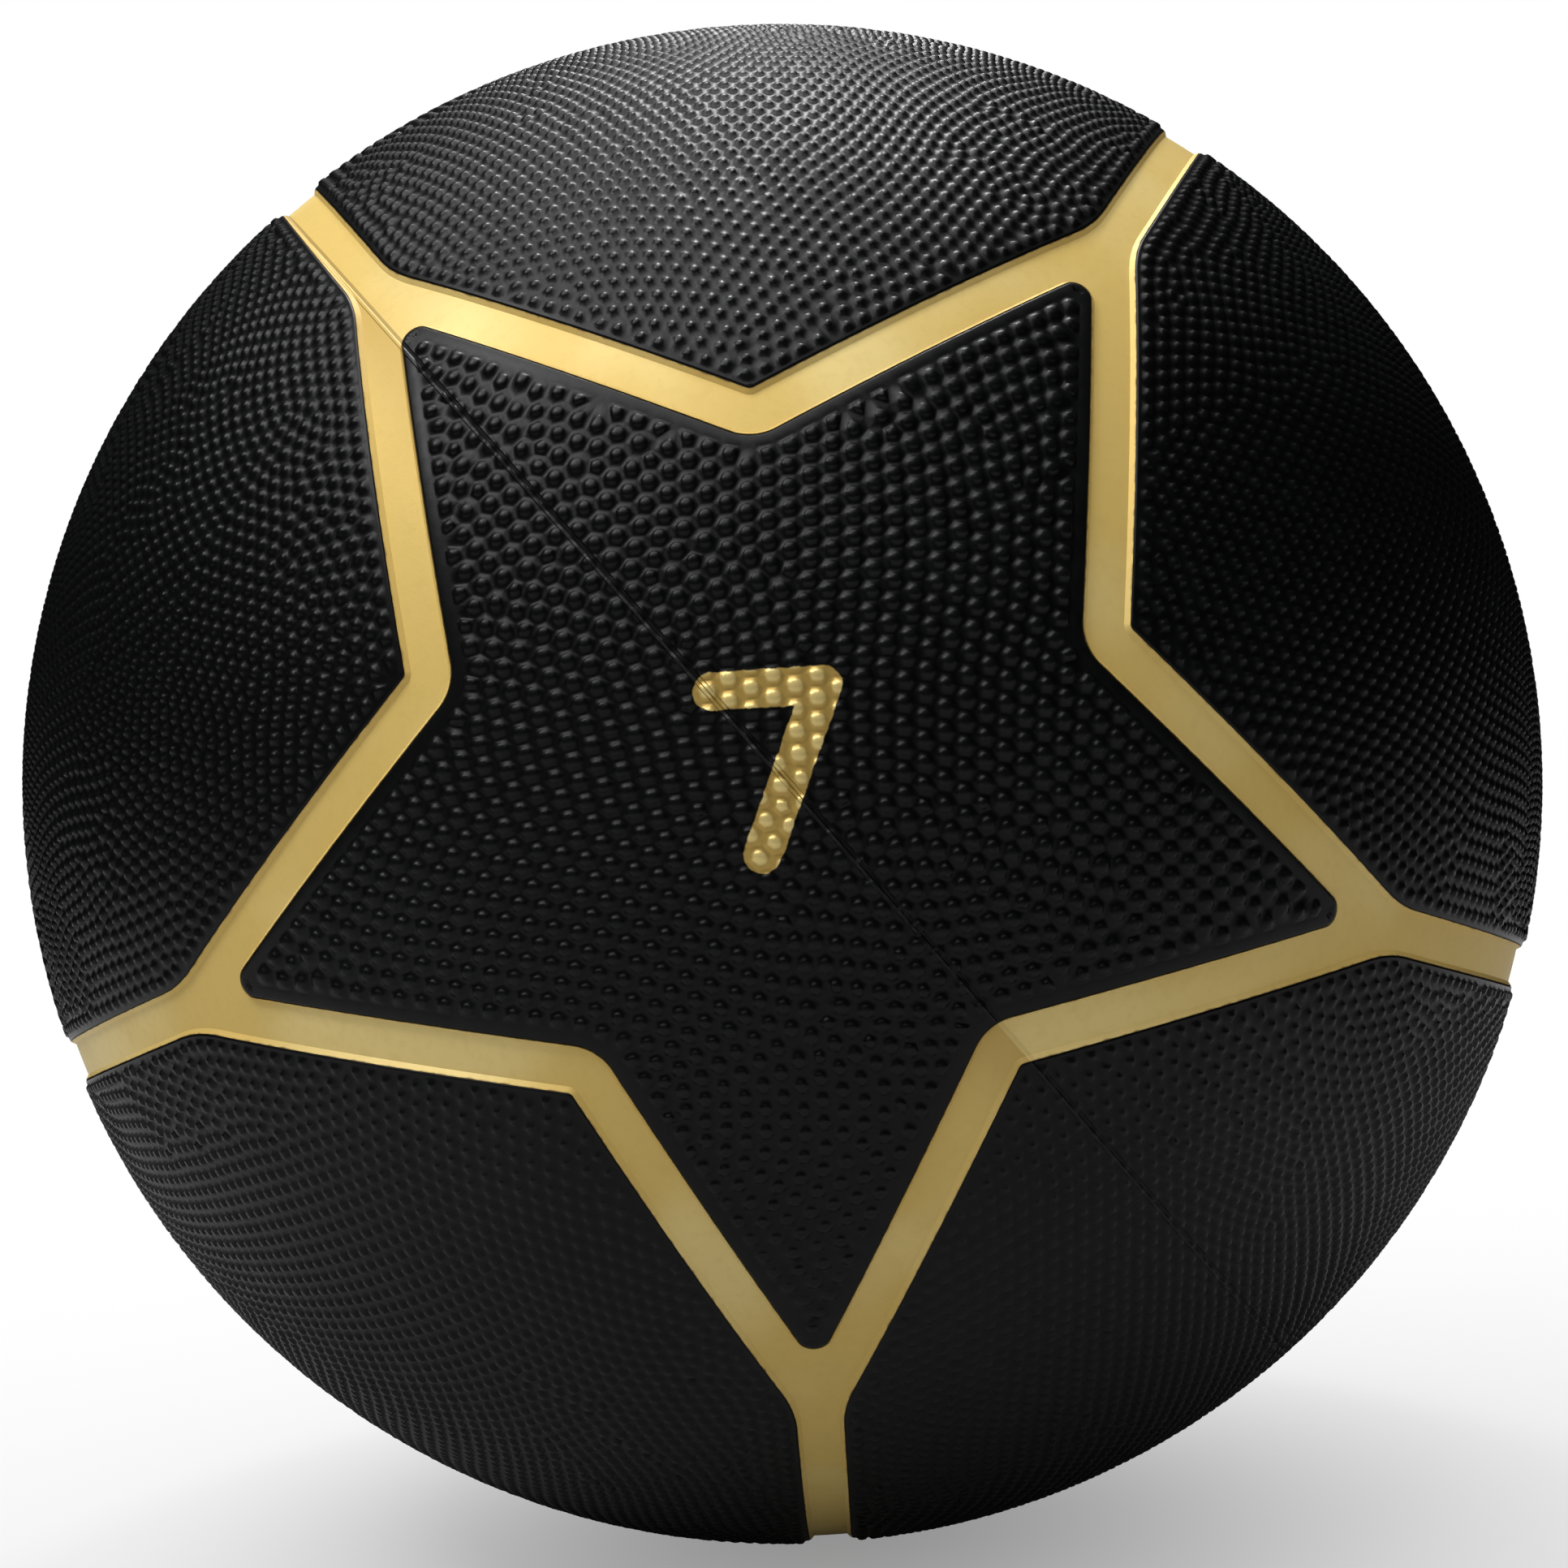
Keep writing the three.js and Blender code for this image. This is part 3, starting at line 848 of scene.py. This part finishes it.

# The parting line: a thin flash on one side of the mould's plane and a dark foot on the other. The
# flash is painted lighter, a painted highlight, and the foot painted dark, painted shade. Both are
# faint on the half of the ball that faces away from PARTING_UP.
PARTING_NORMAL = tuple(ball_frame(direction(pi / 2, PARTING_AZIMUTH + pi / 2)))
PARTING_UP = tuple(ball_frame(direction(pi / 2, PARTING_AZIMUTH)))
PARTING_EASE = (-0.03, 0.01)
PARTING_FAINT = 0.3
FLASH_SIDE = 0.0002
FOOT_SIDE = -0.0003
LINE_EDGE = (0.00015, 0.0003)

# The size number on the front star, as strokes in the plane of the star, in metres.
NUMBER_STROKE = 0.0021
NUMBER_EDGE = 0.0002
NUMBER_UNEVEN = 0.0005
NUMBER_FRONT = (0.1, 0.11)
NUMBER_STROKES = (
    ((-0.0066, 0.0092), (0.0062, 0.0092)),
    ((0.0062, 0.0092), (-0.0020, -0.0098)),
)


def parting_line(look):
    """The flash and its painted highlight, the foot beside it and its painted shade, and the
    distance from the mould's plane.
    """
    place = look.place()
    side = look.along(place, PARTING_NORMAL)
    kept = look.smooth(look.along(place, PARTING_UP), *PARTING_EASE, PARTING_FAINT, 1.0)
    flash_and_highlight, foot = [
        look.smooth(abs(side - middle), *LINE_EDGE, 1.0, 0.0) * kept
        for middle in (FLASH_SIDE, FOOT_SIDE)
    ]
    return flash_and_highlight, foot, side


def stroke_distance(look, x, z, start, end):
    """How far a place lies from a straight stroke."""
    run, rise = end[0] - start[0], end[1] - start[1]
    x, z = x - start[0], z - start[1]
    share = (x * run + z * rise) / (run * run + rise * rise)
    share = look.node("Clamp", None, {"Value": share})
    across, up = x - share * run, z - share * rise
    return (across * across + up * up) ** 0.5


def number_mask(look):
    """One on the painted size number, with a slightly uneven edge."""
    place = look.place()
    x, z = look.along(place, (1, 0, 0)), look.along(place, (0, 0, 1))
    strokes = [stroke_distance(look, x, z, *stroke) for stroke in NUMBER_STROKES]
    nearest = look.combined("MINIMUM", *strokes)
    uneven = nearest + (look.noise(900) - 0.5) * NUMBER_UNEVEN
    front = look.smooth(look.along(place, (0, -1, 0)), *NUMBER_FRONT)
    return look.smooth(uneven, NUMBER_STROKE, NUMBER_STROKE + NUMBER_EDGE, 1.0, 0.0) * front


def panel_rubber(name, parted, numbered=False):
    """Black moulded rubber, satin on the pebbles and matt in the ground between them, where its
    colour is painted darker as shade.
    """
    look = Look(name)
    relief = look.relief()
    handled = look.smooth(look.noise(22, 3), 0.42, 0.68)
    grain = look.noise(2600, 3, 0.65)
    mottle = look.smooth(look.noise(420, 2), 0.3, 0.7)
    # Lighter on the worn pebble tops and the rim; darker into the ground between the pebbles and
    # down the lip, which is painted shade.
    colour = look.mix(relief, BLACK_VALLEY_SHADE, BLACK_TOP)
    colour = look.mix(handled * mottle * 0.35, colour, BLACK_DUST)
    roughness = RUBBER_ROUGHNESS - relief * 0.07 + (grain - 0.5) * 0.14 - handled * 0.03
    normal = look.bump(grain * 0.3 + look.noise(900, 2) * 0.4, 0.00006, 0.6)
    metal = 0.0
    if parted:
        flash_and_highlight, foot, _ = parting_line(look)
        normal = look.bump(flash_and_highlight - foot, 0.00025, 1.0, normal)
        # The flash's lighter colour is a painted highlight, and the foot's black is painted shade
        # in its groove.
        colour = look.mix(flash_and_highlight, colour, FLASH_HIGHLIGHT_GREY)
        colour = look.mix(foot, colour, FOOT_SHADE_BLACK)
        roughness = roughness + foot * 0.4
    if numbered:
        mark = number_mask(look)
        # The paint is paler on the pebble tops and deeper in the ground between them: painted
        # highlight and painted shade.
        paint = look.mix(look.smooth(relief, 0.1, 0.9), GOLD_DEEP, PALE_GOLD_HIGHLIGHT)
        colour = look.mix(mark, colour, paint)
        roughness = roughness * (1 - mark) + mark * 0.3
        metal = mark * 0.35
    return look.surface(colour, roughness, normal, metal, RUBBER_SHINE)


def channel_gold():
    """Sprayed gold paint: a satin metal flake, thinner and browner at the edge of the tray."""
    look = Look("channel_gold")
    relief = look.relief()
    # Pale clouds at random: uneven spray that also stands in for highlights on the paint, a painted
    # highlight.
    cloud_and_highlight = look.smooth(look.noise(30, 2), 0.42, 0.66)
    flake = look.noise(3200, 2, 0.7)
    spray = look.noise(700, 3)
    colour = look.mix(cloud_and_highlight, GOLD, PALE_GOLD_HIGHLIGHT)
    colour = look.mix(look.smooth(spray, 0.45, 0.75, 0.0, 0.14), colour, GOLD_DEEP)
    thin = look.smooth(relief + (spray - 0.5) * 0.5, 0.8, 1.1)
    colour = look.mix(thin, colour, GOLD_THIN)
    flash_and_highlight, foot, side = parting_line(look)
    lower = look.smooth(side, 0.0, 0.0002) * look.smooth(side, 0.0, 0.012, 0.8, 0.0)
    colour = look.mix(lower, colour, GOLD_DEEP)
    # The foot's dark brown on the gold is painted shade.
    colour = look.mix(foot * 0.6, colour, GOLD_FOOT_SHADE)
    normal = look.bump(flake * 0.5 + spray, 0.00004, 0.6)
    normal = look.bump(flash_and_highlight, 0.00012, 1.0, normal)
    roughness = GOLD_ROUGHNESS + (flake - 0.5) * 0.24 + thin * 0.2 - cloud_and_highlight * 0.08
    return look.surface(colour, roughness, normal, GOLD_METAL - thin * 0.1, GOLD_SHINE)


def plain_rubber(name):
    """Unpainted rubber with a fine grain, for the layers and the valve."""
    colour, worn, roughness, grain_scale = PLAIN_RUBBERS[name]
    look = Look(name)
    grain = look.noise(grain_scale, 4, 0.6)
    colour = look.mix(look.smooth(grain, 0.35, 0.75), colour, worn)
    roughness = roughness + (grain - 0.5) * 0.2
    return look.surface(colour, roughness, look.bump(grain, 0.00008, 0.5))


def nylon_thread():
    """Pale thread wound round the carcass: fine ribs, crossed by a second layer."""
    look = Look("nylon_thread")
    place = look.place()
    ribs = [
        look.node("TexWave", {"bands_direction": "DIAGONAL"}, {
            "Vector": look.node("Mapping", None, {"Vector": place, "Rotation": spin}),
            "Scale": 420.0,
            "Distortion": 0.6,
            "Detail": 1.0,
        }, "Fac")
        for spin in NYLON_LAYS
    ]
    weave = look.combined("MAXIMUM", *ribs)
    colour = look.mix(weave, NYLON_SHADE, NYLON)
    return look.surface(colour, 0.8 - weave * 0.15, look.bump(weave, 0.0002, 0.7))


def across_channel():
    """The lines that make up the tray in one wedge, from the notch to the equator. Each has
    its points, its radius and its relief. The lines of the star's wall end at the tip. The
    floor and the underside carry on from there along the middle of the spoke."""
    corner = -(TRAY_WALL + TRAY_CORNER)
    top, foot = star_sector(-NET_CLEARANCE), star_sector(-TRAY_WALL)
    star_floor = star_sector(corner)
    tip = star_floor[-1]
    polar = np.linspace(atan2(tip[0], tip[2]), SPOKE_START, JUNCTION_STEPS + 1)[1:]
    spine = beside_spoke(np.concatenate([polar, SPOKE]), 0.0)
    star_floor = np.concatenate([star_floor, spine])
    underside = np.concatenate([top, spine])
    side_floor, side_top = side_quarter(corner), side_quarter(-NET_CLEARANCE)
    raised = NET_RADIUS + TRAY_RISE
    lines = [
        (top, COVER_INNER, 0.0),
        (top, raised, 1.0),
        (foot, NET_RADIUS, TRAY_FOOT_RELIEF),
        (star_floor, NET_RADIUS, 0.0),
    ]
    for share in between(0, 1, FLOOR_STEPS):
        lines.append((unit(star_floor + (side_floor - star_floor) * share), NET_RADIUS, 0.0))
    lines += [
        (side_floor, NET_RADIUS, 0.0),
        (side_quarter(-TRAY_WALL), NET_RADIUS, TRAY_FOOT_RELIEF),
        (side_top, raised, 1.0),
        (side_top, COVER_INNER, 0.0),
        (underside, COVER_INNER, 0.0),
    ]
    return lines


def within(share, margin):
    return margin + (1 - 2 * margin) * share


def shares_along(line):
    """How far along a line each of its points lies, as a share of its length."""
    steps = np.linalg.norm(np.diff(line, axis=0), axis=1)
    return np.concatenate([[0], np.cumsum(steps)]) / steps.sum()


def channel_net():
    """The gold tray: one wedge of it, mirrored across the tip and the equator, and turned."""
    lines = across_channel()
    along = shares_along(lines[len(lines) // 2][0])
    spent = [0.0]
    for (points, radius, _), (others, other_radius, _) in zip(lines, lines[1:]):
        spent.append(spent[-1] + np.linalg.norm(others[0] * other_radius - points[0] * radius))
    body = Body()
    for wedge in range(4 * STAR_POINTS):
        column, row = divmod(wedge, 2 * STAR_POINTS)
        turn = 2 * HALF_SECTOR * (wedge // 4)
        flipped = wedge % 2 == 1
        placed = []
        for (points, radius, relief), across in zip(lines, spent):
            if flipped:
                points = mirrored(points, TIP_PLANE)
            if wedge % 4 >= 2:
                points = mirrored(points, EQUATOR_PLANE)
            count = len(points)
            u = (column + within(along[:count], MAP_MARGIN)) / 2
            v = (row + within(across / spent[-1], NET_MAP_MARGIN)) / (2 * STAR_POINTS)
            spots = np.stack([u, np.full(count, v)], axis=1)
            placed.append((body.add(turned(points, turn) * radius, relief), spots))
        for one, other in zip(placed, placed[1:]):
            count = min(len(one[0]), len(other[0]))
            one, other = [(ids[:count], spots[:count]) for ids, spots in (one, other)]
            if wedge % 4 in (1, 2):
                one, other = other, one
            body.band(other, one, closed=False)
    return body


def on_sphere(radius, from_axis):
    return from_axis, sqrt(radius ** 2 - from_axis ** 2)


def revolved(profile):
    """A solid turned about the valve's axis. Its profile runs outward over the top first."""
    body = Body()
    turn = np.linspace(0, 2 * pi, VALVE_STEPS + 1)
    corners = np.array(profile + profile[:1])
    lines = []
    for (from_axis, height), across in zip(corners, shares_along(corners)):
        level = np.full_like(turn, height)
        ring = np.stack([from_axis * np.sin(turn), level, from_axis * np.cos(turn)], axis=1)
        spots = np.stack([turn / (2 * pi), np.full_like(turn, across)], axis=1)
        lines.append((body.add(ring, 0.0), within(spots, MAP_MARGIN)))
    for upper, lower in zip(lines, lines[1:]):
        body.band(upper, lower, closed=False)
    return body


def rounded(from_axis, side):
    """A rolled corner of the valve's face. The side is 1 at an outer edge and -1 at a bore."""
    points = []
    for angle in np.linspace(0, pi / 2, 4)[::-side]:
        away = FACE_ROUND * (1 - sin(angle))
        below = FACE_ROUND * (1 - cos(angle))
        points.append((from_axis - side * away, VALVE_FACE - below))
    return points


def valve_housing():
    under = FLANGE_TOP - FLANGE_THICKNESS
    bore_end = VALVE_FACE - PLUG_HEAD_THICKNESS - PLUG_FIT
    return revolved(rounded(COLLAR_BORE, -1) + rounded(COLLAR_RADIUS, 1) + [
        on_sphere(FLANGE_TOP, COLLAR_RADIUS),
        on_sphere(FLANGE_TOP, FLANGE_RADIUS - FLANGE_BEVEL),
        on_sphere(under + FLANGE_EDGE, FLANGE_RADIUS),
        on_sphere(under, FLANGE_RADIUS - FLANGE_BEVEL),
        on_sphere(under, STEM_RADIUS),
        (STEM_RADIUS, STEM_END),
        (STEM_BORE, STEM_END),
        (STEM_BORE, bore_end),
        (COLLAR_BORE, bore_end),
    ])


def valve_plug():
    """The stopper: a dished head, a needle channel that ends above the tip, a tapered stem."""
    bottom = VALVE_FACE - PLUG_LENGTH
    dish = VALVE_FACE - DISH_DEPTH
    return revolved([
        (NEEDLE_BORE, VALVE_FACE - NEEDLE_ENTRY_DEPTH),
        (NEEDLE_THROAT, VALVE_FACE - NEEDLE_THROAT_DEPTH),
        (NEEDLE_ENTRY, dish),
        (PLUG_HEAD_RADIUS - DISH_EDGE, dish),
        (PLUG_HEAD_RADIUS - DISH_RIM, VALVE_FACE),
    ] + rounded(PLUG_HEAD_RADIUS, 1) + [
        (PLUG_HEAD_RADIUS, VALVE_FACE - PLUG_HEAD_THICKNESS),
        (PLUG_RADIUS, VALVE_FACE - PLUG_HEAD_THICKNESS),
        (PLUG_TIP_RADIUS, bottom),
        (0.0, bottom),
        (0.0, bottom + PLUG_END),
        (NEEDLE_BORE, bottom + PLUG_END),
    ])


def as_made(points):
    return points


def back_star(points):
    """Turned half way over about the first tip."""
    return ball_frame(points * np.array([1.0, -1.0, -1.0]))


def build_cover():
    star_rubber = panel_rubber("star_rubber", parted=True, numbered=True)
    parted_rubber = panel_rubber("parted_side_rubber", parted=True)
    side_rubber = panel_rubber("side_rubber", parted=False)
    stars = (
        ("front_star_cover", ball_frame, star_rubber, "front_star_panel", STAR_GRAIN, False),
        ("back_star_cover", back_star, parted_rubber, "back_star_panel", BACK_GRAIN, True),
    )
    seed = SEED
    for name, place, rubber, stands_for, grain, hole in stars:
        star = pebbled_panel(star_outline, STAR_AXIS, STAR_RIM, STAR_LIP, grain, seed, hole)
        mesh_object(name, star, place, "panel_rubber", rubber, stands_for)
        seed += 1
    middle = direction(pi / 2, HALF_SECTOR)
    for index in range(STAR_POINTS):
        mesh_object(
            f"side_cover_{index + 1}",
            pebbled_panel(side_outline, middle, SIDE_RIM, SIDE_LIP, SIDE_GRAIN, seed + index),
            lambda points: ball_frame(turned(points, 2 * HALF_SECTOR * index)),
            "panel_rubber",
            parted_rubber if index == 0 else side_rubber,
            f"side_panel_{index + 1}",
        )
    mesh_object("gold_net", channel_net(), ball_frame, "channel_gold", channel_gold(),
                "channel_net", welded=True)


def build_valve():
    for name, body, slot, stands_for in (
        ("valve_collar", valve_housing(), "stem_rubber", "valve_housing"),
        ("valve_stopper", valve_plug(), "plug_rubber", "valve_plug"),
    ):
        mesh_object(name, body, as_made, slot, plain_rubber(slot), stands_for, welded=True)


def finish_layers():
    """Finishes for the layers under the cover, which are shown as they were packed."""
    finishes = {
        "carcass": ("carcass_rubber", plain_rubber("carcass_rubber")),
        "thread_winding": ("nylon_thread", nylon_thread()),
        "bladder": ("butyl_rubber", plain_rubber("butyl_rubber")),
    }
    for name, (slot, material) in finishes.items():
        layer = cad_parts[name]
        layer.data.materials.clear()
        layer.data.materials.append(material)


# Studio: a pale floor, soft lamps above the ball, and a dark wall, which the camera doesn't
# see, that keeps the ball's sides black.
FLOOR_LEVEL = -BALL_RADIUS
FLOOR_SIZE = 12.0
FLOOR_GREY = (0.5, 0.5, 0.5, 1)
FLOOR_FRONT = (0.0, -0.3, FLOOR_LEVEL)
FLOOR_FOOT = (0.0, 0.0, FLOOR_LEVEL)
SHADOW_CORE = (0.0, 0.14)
SHADOW_RUN = (0.1, 0.6)
MIRRORED_WHITE = (0.45, 0.85)
CORE_LIFT = 0.15
SHADOW_LIFT = 0.6
WALL_RADIUS = 0.8
WALL_TOP = 2.4
WALL_TOP_BEHIND = 1.25
WALL_FALL = 1.6
WALL_STEPS = 96
WALL_SHADES = (0.008, 0.012)
WORLD_STRENGTH = 0.3
RAYS = ("Is Camera Ray", "Is Glossy Ray", "Is Transmission Ray")

# Each lamp: name, place, width and height in metres, and watts. All face the ball.
LAMPS = (
    ("window", (-0.22, -0.46, 0.84), (0.8, 0.9), 8.8),
    ("ceiling", (-0.05, 0.15, 0.98), (0.8, 0.6), 1.5),
    ("spot", (-0.52, -0.36, 0.72), (0.25, 0.25), 2.5),
    ("glint", (0.03, 0.28, 0.90), (0.13, 0.13), 4),
)


def floor_material():
    """A pale floor that keeps a light shadow near the ball and runs out to white."""
    look = Look("studio_floor")
    camera, glossy, through = (look.node("LightPath", output=kind) for kind in RAYS)
    place = look.place()
    reach, foot = (
        look.node("VectorMath", {"operation": "DISTANCE"}, {0: place, 1: spot}, "Value")
        for spot in (FLOOR_FRONT, FLOOR_FOOT)
    )
    near = look.smooth(foot, *SHADOW_CORE, CORE_LIFT, SHADOW_LIFT)
    seen = near + look.smooth(reach, *SHADOW_RUN, 0.0, 1 - SHADOW_LIFT)
    mirrored_white = look.combined("MAXIMUM", glossy, through) * (1 - camera)
    mixed = look.node("MixShader", None, {
        0: camera * seen + mirrored_white * look.smooth(reach, *MIRRORED_WHITE),
        1: look.node("BsdfDiffuse", None, {"Color": FLOOR_GREY}),
        2: look.node("Emission", None, {"Strength": 1.0}),
    })
    return look.shaded(mixed)


def wall_material():
    look = Look("studio_dark")
    shade = look.smooth(look.noise(3), 0.3, 0.7, *WALL_SHADES)
    return look.surface(look.mix(shade, (0, 0, 0, 1), (1, 1, 1, 1)), 1.0, shine=0.0)


def staged(name, points, faces, material):
    mesh = bpy.data.meshes.new(name)
    mesh.from_pydata(points, [], faces)
    mesh.materials.append(material)
    made = in_scene(name, mesh)
    return made


def build_wall():
    """An upright wall all round, lower behind the ball."""
    turns = np.linspace(0, 2 * pi, WALL_STEPS, endpoint=False)
    foot = [(WALL_RADIUS * cos(turn), WALL_RADIUS * sin(turn)) for turn in turns]
    points = [(x, y, FLOOR_LEVEL) for x, y in foot]
    for x, y in foot:
        behind = min(max(y / WALL_RADIUS, 0) * WALL_FALL, 1)
        points.append((x, y, WALL_TOP + (WALL_TOP_BEHIND - WALL_TOP) * behind))
    faces = [
        (at, (at + 1) % WALL_STEPS, (at + 1) % WALL_STEPS + WALL_STEPS, at + WALL_STEPS)
        for at in range(WALL_STEPS)
    ]
    made = staged("studio_wall", points, faces, wall_material())
    made.visible_camera = False
    made.visible_diffuse = False


def build_floor():
    half = FLOOR_SIZE / 2
    corners = [(-half, -half), (half, -half), (half, half), (-half, half)]
    points = [(x, y, FLOOR_LEVEL) for x, y in corners]
    staged("studio_floor", points, [(0, 1, 2, 3)], floor_material())


def build_world():
    """Soft light for the ball, and white for rays that look at the backdrop."""
    look = Look("studio", world=True)
    shade, white = (
        look.node("Background", None, {"Color": (1, 1, 1, 1), "Strength": strength})
        for strength in (WORLD_STRENGTH, 1.0)
    )
    for kind in RAYS:
        chosen = look.node("LightPath", output=kind)
        shade = look.node("MixShader", None, {0: chosen, 1: shade, 2: white})
    bpy.context.scene.world = look.shaded(shade, "OutputWorld")


def build_camera():
    """The camera on the star's axis, as the ball lies in the photograph."""
    turn = Matrix.Rotation(BALL_ROLL, 3, "Z") @ Matrix.Rotation(BALL_YAW, 3, "Y")
    turn = turn @ Matrix.Rotation(BALL_PITCH, 3, "X")
    right, up, back = (Vector(ball_frame(np.array(turn.row[axis]))) for axis in range(3))
    camera = bpy.data.cameras.new("photo_camera")
    across = BALL_RADIUS / sqrt(CAMERA_DISTANCE ** 2 - BALL_RADIUS ** 2)
    camera.lens = camera.sensor_width * BALL_OUTLINE_RADIUS / across / IMAGE_SIZE
    camera.shift_x = (IMAGE_SIZE / 2 - BALL_CENTRE_X) / IMAGE_SIZE
    camera.clip_start = 0.01
    place = Matrix((right, up, back)).transposed().to_4x4()
    place.translation = back * CAMERA_DISTANCE
    made = in_scene("photo_camera", camera)
    made.matrix_world = place
    bpy.context.scene.camera = made


def build_lamps():
    for name, spot, (width, height), power in LAMPS:
        lamp = bpy.data.lights.new(name, "AREA")
        lamp.shape, lamp.size, lamp.size_y, lamp.energy = "RECTANGLE", width, height, power
        made = in_scene(name, lamp)
        made.location = spot
        made.rotation_euler = (-Vector(spot)).to_track_quat("-Z", "Y").to_euler()


build_cover()
build_valve()
finish_layers()
build_floor()
build_wall()
build_world()
build_lamps()
build_camera()
bpy.context.scene.view_settings.view_transform = "Standard"
